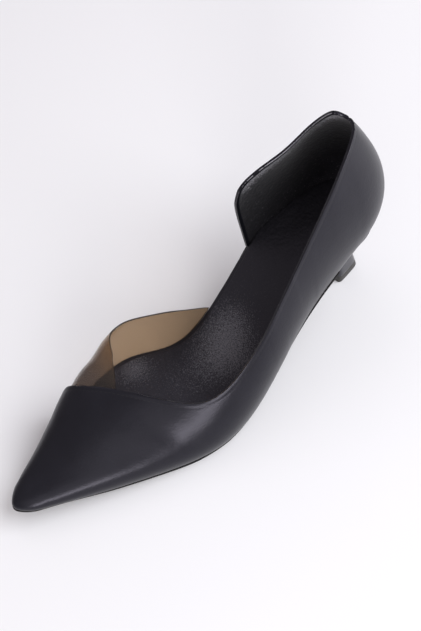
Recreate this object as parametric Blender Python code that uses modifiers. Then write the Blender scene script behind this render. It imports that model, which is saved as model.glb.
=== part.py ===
"""Left open-waist pump: pointed toe, clear panel on the inner ball side, spool heel of about 60 mm.

Lengths below are millimetres and are scaled to metres when a mesh is made. x runs forward from the back of the
heel, y to the wearer's left (the outer side of this left shoe), z up from the floor.
"""
import bmesh
import bpy
import numpy as np

MM = 0.001

# Driving sizes of the last
LENGTH = 243.0
HEEL_BACK = 3.0
HEEL_CENTRE = 30.0
TOE_CENTRE = 226.0
TOE_NOSE = 9.0
TOE_BEND_START = 150.0
SPINE_BLEND = 6.0
HEEL_SHARE = 0.2
TOE_SHARE = 0.93

# The floor plan's middle, which becomes the origin
ORIGIN_X = 121.0
ORIGIN_Y = 1.5

# Walls and gaps
GAP = 0.3
LEATHER = 1.5
FILM = 0.8
INSOLE_THICK = 2.6
LIFT = GAP / 2

# One row a section: half widths at the feather line, its height, the ridge above it, then how the wall between
# them bulges low down (flare, rise) and rounds over at the top (round, drop)
SECTION_COLUMNS = ("x", "lateral", "medial", "feather", "ridge", "ridge_y", "flare_lat", "flare_med",
                   "rise", "round_lat", "round_med", "drop")
SECTION_ROWS = (
    (3, 22, 22, 61, 150, 0, 16.2, 16.2, 27.2, 0.46, 0.46, 30),
    (22, 21.6, 22.2, 55.2, 150, 0, 14.4, 12.8, 27.5, 0.46, 0.74, 30),
    (42, 24, 24.4, 49.4, 148, 0, 7.5, 12.1, 28.2, 0.51, 0.78, 26),
    (62, 26.7, 25.2, 41.8, 136, 0, 7.1, 9, 30, 0.22, 1.27, 20),
    (82, 30.4, 22.1, 30.0, 113, -3, 10.3, 11, 30, 0.37, 1.35, 13),
    (102, 35.4, 20.1, 17.2, 87, -9, 10.1, 8, 28, 0.73, 1.40, 7),
    (122, 39.2, 22.9, 7.0, 65, -16, 7.8, 7, 24, 0.81, 1.30, 2),
    (142, 39.4, 34.2, 3.3, 49.5, -20, 8.5, 6, 20, 0.69, 1.40, 0),
    (162, 35, 35.7, 4.0, 39.5, -21, 6, 5, 16, 0.58, 0.88, 0),
    (182, 27.5, 32, 5.4, 34.5, -19, 5, 4.5, 14, 0.50, 1.26, 0),
    (202, 19.3, 25.4, 7.2, 27.8, -14.5, 4, 3, 12, 0.50, 0.90, 0),
    (222, 10.3, 16.5, 9.6, 22, -9, 3.5, 2.5, 8, 0.50, 0.60, 0),
    (243, 2.5, 8, 13.0, 18, -4, 2.5, 2.5, 5, 0.50, 0.50, 0),
)

# Topline of the outer side and slanted throat: share of the wall that the leather covers, by x
THROAT_X = 178.5
LATERAL_RIM = ((3, 0.746), (10, 0.744), (20, 0.731), (26, 0.714), (32, 0.682), (38, 0.638), (44, 0.588),
               (56, 0.493), (70, 0.438), (87, 0.447), (102, 0.475), (116, 0.490), (125, 0.487), (137, 0.499),
               (145, 0.537), (154, 0.634), (162, 0.744), (170, 0.864), (THROAT_X, 1.0))

# Inner heel quarter: covered share by x, and its front edge by share of that height
QUARTER_RIM = ((3, 0.746), (12, 0.760), (20, 0.695), (27, 0.615), (34, 0.541), (42, 0.497), (50, 0.486),
               (58, 0.478), (64, 0.469), (67, 0.443), (69, 0.413))
QUARTER_FRONT = ((0, 64.5), (0.17, 64.8), (0.4, 65.5), (0.6, 66.4), (0.78, 67.1), (0.9, 67.0), (1.0, 65.4))

# Inner edge of the vamp leather, from the ridge over the peak down to the sole: x by share of the wall
VAMP_FRONT = ((0, 190), (0.3, 189), (0.5, 187), (0.6, 185.9), (0.7, 184.7), (0.8, 183.3), (0.89, 181.4),
              (0.95, 179.9), (1.0, THROAT_X))

# Clear panel: back and front x by girth share, 0 at the inner feather line, 1 on the ridge, past 1 beyond it
PANEL_TOP = 1.19
PANEL_TUCK = 8.0
PANEL_EASE = 14.0
PANEL_INSET = 0.1
PANEL_BACK = ((0, 97), (0.06, 101), (0.206, 110.3), (0.353, 119.3), (0.44, 127), (0.501, 135.8), (0.55, 142.8),
              (0.6, 147.5), (0.66, 150.9), (0.74, 153.5), (0.85, 156.8), (0.98, 160.1), (1.074, 165.5),
              (1.143, 170.1), (PANEL_TOP, 172.6))
PANEL_FRONT = ((0, 196), (0.3, 195), (0.5, 193), (0.6, 191.9), (0.7, 190.7), (0.8, 189.3), (0.89, 187.4),
               (1.0, 184.5), (1.07, 181.2), (1.155, 177), (PANEL_TOP, 175.3))

# Insole edge inside the walls and sole edge outside the feather line, by x
INSOLE_BACK = 5.3
INSOLE_FRONT = 235.0
INSOLE_NOSE = 8.0
INSOLE_INSET = ((3, 2.2, 2.2), (66, 2.2, 2.2), (73, 2.2, 1.0), (90, 2.2, 1.0), (97, 2.2, 1.7), (165, 2.2, 1.7),
                (184, 2.2, 3.4), (202, 2.2, 3.4), (243, 2.6, 2.6))
SOLE_BACK = 43.4
SOLE_FRONT = 243.6
SOLE_NOSE = 9.5
SOLE_MARGIN = ((43, 0.4, 0.3), (64, 0.4, 0.3), (72, 0.4, -0.4), (95, 0.4, -0.2), (120, 0.7, 0.7), (150, 0.8, 0.8),
               (190, 0.6, 0.6), (243, 0.5, 0.5))
SOLE_THICK = ((43, 2.4), (100, 2.6), (126, 3.5), (156, 3.5), (172, 2.8), (200, 2.2), (243, 1.4))

# Heel rings from seat to foot: back x and z, front x and z, half width, how square the back is and how far
# it narrows towards the back
HEEL_COLUMNS = ("x_back", "z_back", "x_front", "z_front", "half", "square", "taper")
HEEL_ROWS = (
    (4.4, 58.2, 42.9, 46.6, 21.2, 2.0, 0.0),
    (6.4, 54.6, 37.0, 45.5, 17.4, 2.0, 0.0),
    (8.8, 50.4, 31.2, 43.6, 13.8, 2.1, 0.0),
    (11.0, 45.4, 27.8, 41.2, 10.6, 2.3, 0.04),
    (12.7, 39.6, 25.6, 37.4, 8.2, 2.6, 0.08),
    (13.4, 33.0, 24.6, 32.0, 6.8, 3.0, 0.13),
    (13.1, 26.0, 24.1, 25.8, 6.5, 3.4, 0.18),
    (11.9, 19.0, 24.0, 19.0, 6.9, 3.8, 0.22),
    (10.2, 12.0, 24.2, 12.0, 7.8, 4.3, 0.26),
    (8.3, 5.0, 24.7, 5.0, 8.9, 4.8, 0.30),
)
SEAT_FRONT = 43.0
FRONT_SQUARE = 7.0
TOP_PIECE_HIGH = 4.7
TOP_PIECE_FOOT = (7.0, 25.1, 9.4)

# Facets
WALL_ROWS = 15
ROW_CROWDING = 1.35
SIDE_STEPS = 42
TOE_STEPS = 20
QUARTER_STEPS = 18
PANEL_ROWS = 26
PANEL_STEPS = 14
SOLE_STEPS = 52
SOLE_STRIPS = 4
HEEL_SIDES = 32


def spline(xs, ys):
    """Natural cubic spline through the rows, as a function."""
    xs = np.asarray(xs, float)
    ys = np.asarray(ys, float)
    count = len(xs)
    gap = np.diff(xs)
    matrix = np.zeros((count, count))
    right = np.zeros(count)
    matrix[0, 0] = 1
    matrix[-1, -1] = 1
    for i in range(1, count - 1):
        matrix[i, i - 1:i + 2] = gap[i - 1], 2 * (gap[i - 1] + gap[i]), gap[i]
        right[i] = 6 * ((ys[i + 1] - ys[i]) / gap[i] - (ys[i] - ys[i - 1]) / gap[i - 1])
    bend = np.linalg.solve(matrix, right)

    def value(x):
        x = np.asarray(x, float)
        i = np.clip(np.searchsorted(xs, x) - 1, 0, count - 2)
        t = x - xs[i]
        slope = (ys[i + 1] - ys[i]) / gap[i] - gap[i] * (2 * bend[i] + bend[i + 1]) / 6
        return ys[i] + t * (slope + t * (bend[i] / 2 + t * (bend[i + 1] - bend[i]) / (6 * gap[i])))
    return value


def curve_through(rows, column=1):
    """Spline of one column of a table over its first column."""
    return spline([row[0] for row in rows], [row[column] for row in rows])


def straight_through(rows, column):
    """Straight lines through one column of a table over its first column."""
    return lambda x: np.interp(x, [row[0] for row in rows], [row[column] for row in rows])


SECTION = {name: curve_through(SECTION_ROWS, i) for i, name in enumerate(SECTION_COLUMNS) if i > 0}


def soft_max(a, b, blend):
    return (a + b + np.sqrt((a - b) ** 2 + blend * blend)) / 2


def station(q):
    """x of the feather point at loop share q, which slows down round the heel and the toe tip."""
    q = np.asarray(q, float)
    toe_start = LENGTH - TOE_NOSE
    heel = HEEL_CENTRE - (HEEL_CENTRE - HEEL_BACK) * np.cos(np.clip(q / HEEL_SHARE, 0, 1) * np.pi / 2)
    toe = toe_start + TOE_NOSE * np.sin(np.clip((q - TOE_SHARE) / (1 - TOE_SHARE), 0, 1) * np.pi / 2)
    middle = HEEL_CENTRE + (toe_start - HEEL_CENTRE) * (q - HEEL_SHARE) / (TOE_SHARE - HEEL_SHARE)
    return np.where(q < HEEL_SHARE, heel, np.where(q > TOE_SHARE, toe, middle))


def loop_share(x):
    """Loop share q whose station is x."""
    steps = np.linspace(0, 1, 4001)
    return np.interp(x, station(steps), steps)


def round_ends(x, back, front, nose):
    """1 along the foot, falling to 0 as a quarter ellipse at the heel and at the nose of an outline."""
    heel = np.clip((HEEL_CENTRE - x) / (HEEL_CENTRE - back), 0, 1)
    toe = np.clip((x - (front - nose)) / nose, 0, 1)
    return np.sqrt((1 - heel ** 2) * (1 - toe ** 2))


def axis_y(x):
    """Mid line of the plan, straight along the foot and turning to the toe tip."""
    t = np.clip((x - TOE_BEND_START) / (LENGTH - TOE_BEND_START), 0, 1)
    tip = (SECTION["lateral"](LENGTH) - SECTION["medial"](LENGTH)) / 2
    return tip * t * t * (3 - 2 * t)


def half_width(x, side):
    return np.where(np.asarray(side) > 0, SECTION["lateral"](x) - axis_y(x), SECTION["medial"](x) + axis_y(x))


def feather(x, side):
    """Point on the line where upper and sole meet, side +1 outer, -1 inner."""
    x = np.asarray(x, float)
    y = axis_y(x) + side * half_width(x, side) * round_ends(x, HEEL_BACK, LENGTH, TOE_NOSE)
    return np.stack(np.broadcast_arrays(x, y, SECTION["feather"](x)), -1)


def last_point(q, side, share):
    """Point on the last: share 0 at the feather line, 1 on the ridge, a cubic curve in between."""
    q, side, share = np.broadcast_arrays(np.asarray(q, float), side, np.asarray(share, float))
    x = station(q)
    low = feather(x, side)
    spine = soft_max(HEEL_CENTRE, -soft_max(-TOE_CENTRE, -x, SPINE_BLEND), SPINE_BLEND)
    ridge_slope = SECTION["ridge"](spine + 0.5) - SECTION["ridge"](spine - 0.5)
    top = np.stack([spine, SECTION["ridge_y"](spine), SECTION["ridge"](spine)], -1)
    out = low - top
    out[..., 2] = 0
    reach = np.linalg.norm(out, axis=-1, keepdims=True)
    out = out / np.maximum(reach, 1e-6)
    flare = np.where(side > 0, SECTION["flare_lat"](x), SECTION["flare_med"](x))[..., None]
    bend = np.where(side > 0, SECTION["round_lat"](x), SECTION["round_med"](x))[..., None]
    bulge = low + out * flare
    bulge[..., 2] += SECTION["rise"](x)
    shoulder = top + out * reach * bend
    shoulder[..., 2] = top[..., 2] + ridge_slope * (shoulder[..., 0] - top[..., 0]) - SECTION["drop"](x)
    t = share[..., None]
    return (1 - t) ** 3 * low + 3 * (1 - t) ** 2 * t * bulge + 3 * (1 - t) * t * t * shoulder + t ** 3 * top


def skin(q, girth):
    """Point on the last by girth share: 0 inner feather line, 1 ridge, 2 outer feather line."""
    girth = np.asarray(girth, float)
    return last_point(q, np.where(girth > 1, 1, -1), np.where(girth > 1, 2 - girth, girth))


def inward(q, girth, depth):
    """Point on the last moved a depth along the inward normal."""
    step = 0.002
    along = skin(np.clip(q + step, 0, 1), girth) - skin(np.clip(q - step, 0, 1), girth)
    across = skin(q, girth + step) - skin(q, girth - step)
    normal = np.cross(along, across)
    normal /= np.linalg.norm(normal, axis=-1, keepdims=True)
    return skin(q, girth) - normal * depth


def grid_faces(bm, points, flip=False):
    """Quads over a grid of points."""
    verts = [[bm.verts.new(tuple(p * MM)) for p in row] for row in points]
    for i in range(len(verts) - 1):
        for j in range(len(verts[0]) - 1):
            quad = [verts[i][j], verts[i + 1][j], verts[i + 1][j + 1], verts[i][j + 1]]
            bm.faces.new(quad[::-1] if flip else quad)


def add_object(bm, name, material, sharp_deg):
    """Object of the finished mesh, with its own material, under the shoe's empty."""
    mesh = bpy.data.meshes.new(name)
    bm.to_mesh(mesh)
    bm.free()
    mesh.shade_smooth()
    mesh.set_sharp_from_angle(angle=np.radians(sharp_deg))
    mesh.materials.append(material)
    piece = bpy.data.objects.new(name, mesh)
    shoe_collection.objects.link(piece)
    piece.parent = shoe_empty
    return piece


def add_shell(piece, thickness):
    """Wall of even thickness, grown inward from an open surface."""
    shell = piece.modifiers.new("wall", "SOLIDIFY")
    shell.thickness = thickness * MM
    shell.offset = -1
    shell.use_even_offset = True
    shell.use_quality_normals = True


def plain_material(name, colour, roughness, coat=0.0, alpha=1.0):
    material = bpy.data.materials.new(name)
    material.use_nodes = True
    shader = material.node_tree.nodes["Principled BSDF"]
    shader.inputs["Base Color"].default_value = (*colour, 1.0)
    shader.inputs["Roughness"].default_value = roughness
    shader.inputs["Metallic"].default_value = 0.0
    shader.inputs["Coat Weight"].default_value = coat
    shader.inputs["Alpha"].default_value = alpha
    return material


def wall_rows():
    """Shares up a wall, closer together towards its top edge."""
    t = np.linspace(0, 1, WALL_ROWS)
    return 1 - (1 - t) ** ROW_CROWDING


def make_upper():
    """Leather shell: outer side with the toe, inner half of the vamp, inner heel quarter."""
    rows = wall_rows()
    lateral_rim = curve_through(LATERAL_RIM)
    quarter_rim = curve_through(QUARTER_RIM)
    quarter_front = curve_through(QUARTER_FRONT)
    vamp_front = curve_through(VAMP_FRONT)
    throat_q = loop_share(THROAT_X)
    toe_steps = np.linspace(0, 1, TOE_STEPS + 1)
    bm = bmesh.new()

    side_q = np.concatenate([np.linspace(0, throat_q, SIDE_STEPS + 1)[:-1], throat_q + toe_steps * (1 - throat_q)])
    side_x = station(side_q)
    covered = np.where(side_x < THROAT_X - 0.01, lateral_rim(np.minimum(side_x, THROAT_X)), 1.0)
    grid_faces(bm, last_point(side_q[:, None], 1, covered[:, None] * rows[None, :]), flip=True)

    start_q = loop_share(vamp_front(rows))
    vamp_q = start_q[None, :] + toe_steps[:, None] * (1 - start_q[None, :])
    grid_faces(bm, last_point(vamp_q, -1, rows[None, :] + 0 * vamp_q))

    steps = np.linspace(0, 1, QUARTER_STEPS + 1)
    end_q = loop_share(quarter_front(rows))
    quarter_q = steps[:, None] * end_q[None, :]
    quarter_share = rows[None, :] * quarter_rim(station(quarter_q))
    grid_faces(bm, last_point(quarter_q, -1, quarter_share))

    bmesh.ops.translate(bm, verts=bm.verts, vec=(0, 0, LIFT * MM))
    bmesh.ops.remove_doubles(bm, verts=bm.verts, dist=0.02 * MM)
    leather = plain_material("upper_leather", (0.018, 0.018, 0.021), 0.42)
    add_shell(add_object(bm, "upper", leather, 50), LEATHER)


def make_vinyl_panel():
    """Clear film of the inner ball side, tucked under the vamp's edge."""
    panel_back = curve_through(PANEL_BACK)
    panel_front = curve_through(PANEL_FRONT)
    girth = np.linspace(0, PANEL_TOP, PANEL_ROWS + 1)
    steps = np.linspace(0, 1, PANEL_STEPS + 1)
    back = panel_back(girth)
    x = back[None, :] + steps[:, None] * (panel_front(girth) - back)[None, :]
    from_front = panel_front(girth)[None, :] - x
    ease = np.clip((from_front - PANEL_TUCK) / PANEL_EASE, 0, 1)
    depth = (LEATHER + GAP) * (1 - ease * ease * (3 - 2 * ease)) + PANEL_INSET
    bm = bmesh.new()
    grid_faces(bm, inward(loop_share(x), girth[None, :] + 0 * x, depth[..., None]))
    bmesh.ops.translate(bm, verts=bm.verts, vec=(0, 0, LIFT * MM))
    film = plain_material("smoky_film", (0.22, 0.16, 0.11), 0.12, alpha=0.45)
    add_shell(add_object(bm, "vinyl_panel", film, 50), FILM)


def strip_solid(bm, xs, inner_y, outer_y, bottom, top):
    """Closed sole-like body: cross lines from inner to outer edge at each x, level across, below and above."""
    share = np.linspace(0, 1, SOLE_STRIPS + 1)[None, :]
    y = inner_y[:, None] + (outer_y - inner_y)[:, None] * share
    x = xs[:, None] + 0 * y
    grid_faces(bm, np.stack([x, y, top[:, None] + 0 * y], -1))
    grid_faces(bm, np.stack([x, y, bottom[:, None] + 0 * y], -1), flip=True)
    for edge in (0, -1):
        wall = np.stack([np.stack([xs, y[:, edge], bottom], -1), np.stack([xs, y[:, edge], top], -1)], 1)
        grid_faces(bm, wall, flip=edge == 0)
    for end in (0, -1):
        wall = np.stack([np.stack([x[end], y[end], bottom[end] + 0 * y[end]], -1),
                         np.stack([x[end], y[end], top[end] + 0 * y[end]], -1)], 1)
        grid_faces(bm, wall, flip=end == -1)
    bmesh.ops.remove_doubles(bm, verts=bm.verts, dist=0.005 * MM)
    bmesh.ops.recalc_face_normals(bm, faces=bm.faces)


def eased(back, front, nose, back_blunt, count):
    """Stations that crowd towards the round ends of an outline."""
    t = np.linspace(0, 1, count)
    toe = front - nose * (1 - np.sin(np.linspace(0, 0.97, 9) * np.pi / 2))
    if back_blunt:
        heel = np.array([back])
    else:
        heel = HEEL_CENTRE - (HEEL_CENTRE - back) * np.cos(np.linspace(0.04, 1, 10) * np.pi / 2)
    body = heel[-1] + (toe[0] - heel[-1]) * t
    return np.concatenate([heel[:-1], body, toe[1:]])


def make_insole():
    """Board and sock inside the walls, from the heel seat to the toe."""
    xs = eased(INSOLE_BACK, INSOLE_FRONT, INSOLE_NOSE, False, SOLE_STEPS - 16)
    ends = round_ends(xs, INSOLE_BACK, INSOLE_FRONT, INSOLE_NOSE)
    outer = axis_y(xs) + (half_width(xs, 1) - straight_through(INSOLE_INSET, 1)(xs)) * ends
    inner = axis_y(xs) - (half_width(xs, -1) - straight_through(INSOLE_INSET, 2)(xs)) * ends
    bottom = SECTION["feather"](xs) + LIFT
    bm = bmesh.new()
    strip_solid(bm, xs, inner, outer, bottom, bottom + INSOLE_THICK)
    add_object(bm, "insole", plain_material("sock_leather", (0.016, 0.016, 0.017), 0.6), 40)


def make_outsole():
    """Sole from the heel breast over the arch to the toe, flat on the floor under the ball."""
    xs = eased(SOLE_BACK, SOLE_FRONT, SOLE_NOSE, True, SOLE_STEPS - 8)
    ends = round_ends(np.maximum(xs, HEEL_CENTRE), HEEL_BACK, SOLE_FRONT, SOLE_NOSE)
    outer = axis_y(xs) + (half_width(xs, 1) + straight_through(SOLE_MARGIN, 1)(xs)) * ends
    inner = axis_y(xs) - (half_width(xs, -1) + straight_through(SOLE_MARGIN, 2)(xs)) * ends
    top = SECTION["feather"](xs) - LIFT
    bm = bmesh.new()
    strip_solid(bm, xs, inner, outer, np.maximum(top - straight_through(SOLE_THICK, 1)(xs), 0.0), top)
    add_object(bm, "outsole", plain_material("sole", (0.02, 0.02, 0.021), 0.55), 40)


def heel_ring(x_back, z_back, x_front, z_front, half, square, taper):
    """Tilted ring, round at the back and nearly flat across the breast."""
    turn = np.linspace(0, 2 * np.pi, HEEL_SIDES, endpoint=False)
    power = np.where(np.cos(turn) > 0, FRONT_SQUARE, square)
    along = np.sign(np.cos(turn)) * np.abs(np.cos(turn)) ** (2 / power)
    across = np.sign(np.sin(turn)) * np.abs(np.sin(turn)) ** (2 / power)
    share = (along + 1) / 2
    wide = half * (1 - taper * (1 - share))
    return np.stack([x_back + (x_front - x_back) * share, wide * across, z_back + (z_front - z_back) * share], -1)


def loft_rings(bm, rings):
    """Closed body through rings of the same count, capped at both ends."""
    verts = [[bm.verts.new(tuple(p * MM)) for p in ring] for ring in rings]
    for low, high in zip(verts, verts[1:]):
        for i in range(HEEL_SIDES):
            k = (i + 1) % HEEL_SIDES
            bm.faces.new((low[i], low[k], high[k], high[i]))
    bm.faces.new(verts[0])
    bm.faces.new(verts[-1])
    bmesh.ops.recalc_face_normals(bm, faces=bm.faces)


def seat_ring():
    """Flat seat ring just below the feather line, on its outline."""
    slope = (SECTION["feather"](SEAT_FRONT) - SECTION["feather"](HEEL_BACK)) / (SEAT_FRONT - HEEL_BACK)
    xs = np.linspace(HEEL_BACK, SEAT_FRONT, 41)
    level = (SECTION["feather"](xs) - slope * xs).min() - LIFT
    ring = heel_ring(HEEL_BACK, level + slope * HEEL_BACK, SEAT_FRONT, level + slope * SEAT_FRONT, 1.0, 2.0, 0.0)
    edge = np.abs(feather(ring[:, 0], np.where(ring[:, 1] < 0, -1, 1))[:, 1])
    back_half = ring[:, 0] < (HEEL_BACK + SEAT_FRONT) / 2
    ring[:, 1] = edge * np.where(back_half, np.sign(np.round(ring[:, 1], 6)), ring[:, 1])
    return ring


def make_heel():
    """Covered spool heel from the seat down to its top piece."""
    bm = bmesh.new()
    loft_rings(bm, [seat_ring()] + [heel_ring(*row) for row in HEEL_ROWS])
    add_object(bm, "heel", plain_material("heel_cover", (0.02, 0.021, 0.026), 0.42), 45)


def make_top_piece():
    """Hard lift under the heel, flat on the floor."""
    x_back, z_back, x_front, z_front, half, square, taper = HEEL_ROWS[-1]
    foot_back, foot_front, foot_half = TOP_PIECE_FOOT
    bm = bmesh.new()
    loft_rings(bm, [heel_ring(x_back, TOP_PIECE_HIGH, x_front, TOP_PIECE_HIGH, half, square, taper),
                    heel_ring(foot_back, 0.0, foot_front, 0.0, foot_half, square, taper)])
    add_object(bm, "top_piece", plain_material("lift_plastic", (0.035, 0.032, 0.03), 0.5), 45)


for old in list(bpy.data.objects):
    bpy.data.objects.remove(old, do_unlink=True)

shoe_collection = bpy.data.collections.new("open_waist_pump")
bpy.context.scene.collection.children.link(shoe_collection)
shoe_empty = bpy.data.objects.new("shoe", None)
shoe_empty.location = (-ORIGIN_X * MM, -ORIGIN_Y * MM, 0)
shoe_collection.objects.link(shoe_empty)

make_upper()
make_vinyl_panel()
make_insole()
make_outsole()
make_heel()
make_top_piece()
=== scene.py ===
"""Looks of the left open-waist pump: leather, lining, stitches, film, sock, sole, heel, light and camera.

Lengths are millimetres in the last's own frame, as in the part's source: x forward from the back of the heel,
y to the outer side, z up from the floor. They become metres in the shared frame when a mesh is made.
Grain, lights and camera are in metres.
"""
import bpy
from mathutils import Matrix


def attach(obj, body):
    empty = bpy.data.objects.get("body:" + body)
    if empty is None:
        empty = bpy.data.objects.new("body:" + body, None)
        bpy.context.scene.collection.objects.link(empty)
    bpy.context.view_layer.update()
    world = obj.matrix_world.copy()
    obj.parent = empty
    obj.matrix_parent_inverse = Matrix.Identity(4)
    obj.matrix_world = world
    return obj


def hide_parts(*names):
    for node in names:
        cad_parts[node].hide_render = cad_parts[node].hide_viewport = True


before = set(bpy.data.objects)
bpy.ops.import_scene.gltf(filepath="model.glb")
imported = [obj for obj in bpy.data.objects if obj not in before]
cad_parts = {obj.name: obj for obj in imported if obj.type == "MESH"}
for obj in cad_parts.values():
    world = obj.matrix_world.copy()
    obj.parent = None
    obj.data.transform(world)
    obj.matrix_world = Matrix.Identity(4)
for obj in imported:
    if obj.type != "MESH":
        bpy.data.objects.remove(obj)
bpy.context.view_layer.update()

from types import SimpleNamespace

import bmesh
import bpy
import numpy as np
from mathutils import Vector
from mathutils.bvhtree import BVHTree
from mathutils.kdtree import KDTree

# A millimetre in metres, and the shared frame's origin in the last's frame
MM = 0.001
ORIGIN = np.array([121.0, 1.5, 0.0])

# Driving sizes of the last
LENGTH = 243.0
HEEL_BACK = 3.0
HEEL_CENTRE = 30.0
TOE_CENTRE = 226.0
TOE_NOSE = 9.0
TOE_BEND_START = 150.0
SPINE_BLEND = 6.0
HEEL_SHARE = 0.2
TOE_SHARE = 0.93

# Walls and gaps
GAP = 0.3
LEATHER = 1.5
FILM = 0.8
INSOLE_THICK = 2.6
LIFT = GAP / 2

# Sections of the last: half widths, feather line, ridge, low bulge (flare, rise), round top (round, drop)
SECTION_COLUMNS = ("x", "lateral", "medial", "feather", "ridge", "ridge_y", "flare_lat", "flare_med",
                   "rise", "round_lat", "round_med", "drop")
SECTION_ROWS = (
    (3, 22, 22, 61, 150, 0, 16.2, 16.2, 27.2, 0.46, 0.46, 30),
    (22, 21.6, 22.2, 55.2, 150, 0, 14.4, 12.8, 27.5, 0.46, 0.74, 30),
    (42, 24, 24.4, 49.4, 148, 0, 7.5, 12.1, 28.2, 0.51, 0.78, 26),
    (62, 26.7, 25.2, 41.8, 136, 0, 7.1, 9, 30, 0.22, 1.27, 20),
    (82, 30.4, 22.1, 30.0, 113, -3, 10.3, 11, 30, 0.37, 1.35, 13),
    (102, 35.4, 20.1, 17.2, 87, -9, 10.1, 8, 28, 0.73, 1.40, 7),
    (122, 39.2, 22.9, 7.0, 65, -16, 7.8, 7, 24, 0.81, 1.30, 2),
    (142, 39.4, 34.2, 3.3, 49.5, -20, 8.5, 6, 20, 0.69, 1.40, 0),
    (162, 35, 35.7, 4.0, 39.5, -21, 6, 5, 16, 0.58, 0.88, 0),
    (182, 27.5, 32, 5.4, 34.5, -19, 5, 4.5, 14, 0.50, 1.26, 0),
    (202, 19.3, 25.4, 7.2, 27.8, -14.5, 4, 3, 12, 0.50, 0.90, 0),
    (222, 10.3, 16.5, 9.6, 22, -9, 3.5, 2.5, 8, 0.50, 0.60, 0),
    (243, 2.5, 8, 13.0, 18, -4, 2.5, 2.5, 5, 0.50, 0.50, 0),
)

# Topline of the outer side and slanted throat: share of the wall that the leather covers, by x
THROAT_X = 178.5
LATERAL_RIM = ((3, 0.746), (10, 0.744), (20, 0.731), (26, 0.714), (32, 0.682), (38, 0.638), (44, 0.588),
               (56, 0.493), (70, 0.438), (87, 0.447), (102, 0.475), (116, 0.490), (125, 0.487), (137, 0.499),
               (145, 0.537), (154, 0.634), (162, 0.744), (170, 0.864), (THROAT_X, 1.0))

# Inner heel quarter: covered share by x, and its front edge by share of that height
QUARTER_RIM = ((3, 0.746), (12, 0.760), (20, 0.695), (27, 0.615), (34, 0.541), (42, 0.497), (50, 0.486),
               (58, 0.478), (64, 0.469), (67, 0.443), (69, 0.413))
QUARTER_FRONT = ((0, 64.5), (0.17, 64.8), (0.4, 65.5), (0.6, 66.4), (0.78, 67.1), (0.9, 67.0), (1.0, 65.4))

# Inner edge of the vamp leather, from the sole up over the peak to the ridge: x by share of the wall
VAMP_FRONT = ((0, 190), (0.3, 189), (0.5, 187), (0.6, 185.9), (0.7, 184.7), (0.8, 183.3), (0.89, 181.4),
              (0.95, 179.9), (1.0, THROAT_X))

# Clear panel: back and front x by girth share, 0 at the inner feather line, 1 on the ridge, past 1 beyond it
PANEL_TOP = 1.19
PANEL_TUCK = 8.0
PANEL_EASE = 14.0
PANEL_INSET = 0.1
PANEL_BACK = ((0, 97), (0.06, 101), (0.206, 110.3), (0.353, 119.3), (0.44, 127), (0.501, 135.8),
              (0.55, 142.8), (0.6, 147.5), (0.66, 150.9), (0.74, 153.5), (0.85, 156.8), (0.98, 160.1),
              (1.074, 165.5), (1.143, 170.1), (PANEL_TOP, 172.6))
PANEL_FRONT = ((0, 196), (0.3, 195), (0.5, 193), (0.6, 191.9), (0.7, 190.7), (0.8, 189.3), (0.89, 187.4),
               (1.0, 184.5), (1.07, 181.2), (1.155, 177), (PANEL_TOP, 175.3))

# Insole board and sock: ends, edges, and by x how far inside the feather line outer and inner side are
INSOLE_FRONT = 235.0
INSOLE_NOSE = 8.0
BOARD_BACK = 4.6
BOARD_ROUND = (0.5, 0.8)
BOARD_INSET = ((3, 1.45, 1.45), (62, 1.45, 1.45), (73, 1.45, 1.0), (90, 1.45, 1.0), (97, 1.45, 1.3),
               (165, 1.45, 1.3), (184, 1.45, 3.0), (196, 1.45, 2.4), (243, 2.4, 2.4))
SOCK_THICK = 0.6
SOCK_GAP = 0.02
SOCK_BACK = 4.0
SOCK_ROUND = (0.05, 0.4)
SOCK_INSET = ((3, 0.9, 0.9), (56, 0.9, 0.9), (70, 0.9, 3.4), (97, 0.9, 3.6), (150, 0.9, 4.0), (170, 0.9, 3.8),
              (190, 1.0, 3.4), (243, 2.6, 2.6))

# Sole: ends, edges, thickness, and by x how far outside the feather line both sides are (below zero inside)
SOLE_BACK = 43.4
SOLE_BACK_BOW = 0.5
SOLE_FRONT = 243.6
SOLE_NOSE = 9.5
SOLE_ROUND = (0.7, 0.45)
SOLE_THICK = ((43, 2.4), (100, 2.6), (126, 3.5), (156, 3.5), (172, 2.8), (200, 2.2), (243, 1.4))
SOLE_MARGIN = ((43, 0.4, 0.3), (64, 0.2, 0.3), (72, 0.0, -0.4), (95, -0.7, -0.6), (125, -1.0, -0.6),
               (150, -0.4, -0.4), (190, 0.2, 0.0), (225, 0.4, 0.2), (243, 0.3, 0.3))

# Heel rings, seat to foot: back x and z, front x and z, half width, how square and how narrow the back is
HEEL_ROWS = (
    (4.4, 58.2, 42.9, 46.6, 21.2, 2.0, 0.0),
    (6.4, 54.6, 37.0, 45.5, 17.4, 2.0, 0.0),
    (8.8, 50.4, 31.2, 43.6, 13.8, 2.1, 0.0),
    (11.0, 45.4, 27.8, 41.2, 10.6, 2.3, 0.04),
    (12.7, 39.6, 25.6, 37.4, 8.2, 2.6, 0.08),
    (13.4, 33.0, 24.6, 32.0, 6.8, 3.0, 0.13),
    (13.1, 26.0, 24.1, 25.8, 6.5, 3.4, 0.18),
    (11.9, 19.0, 24.0, 19.0, 6.9, 3.8, 0.22),
    (10.2, 12.0, 24.2, 12.0, 7.8, 4.3, 0.26),
    (8.3, 5.0, 24.7, 5.0, 8.9, 4.8, 0.30),
)
SEAT_FRONT = 43.0
FRONT_SQUARE = 7.0
HEEL_FOOT_INSET = 0.25
HEEL_FOOT_DROP = 0.12

# Lift: height, back and front x and half width of its foot, shares of its rings, and round edges
TOP_PIECE_HIGH = 4.7
TOP_PIECE_FOOT = (7.0, 25.1, 9.4)
TOP_PIECE_LEVELS = (0.06, 0.35, 0.65, 0.93)
TOP_PIECE_ROUND = 0.3

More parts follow.
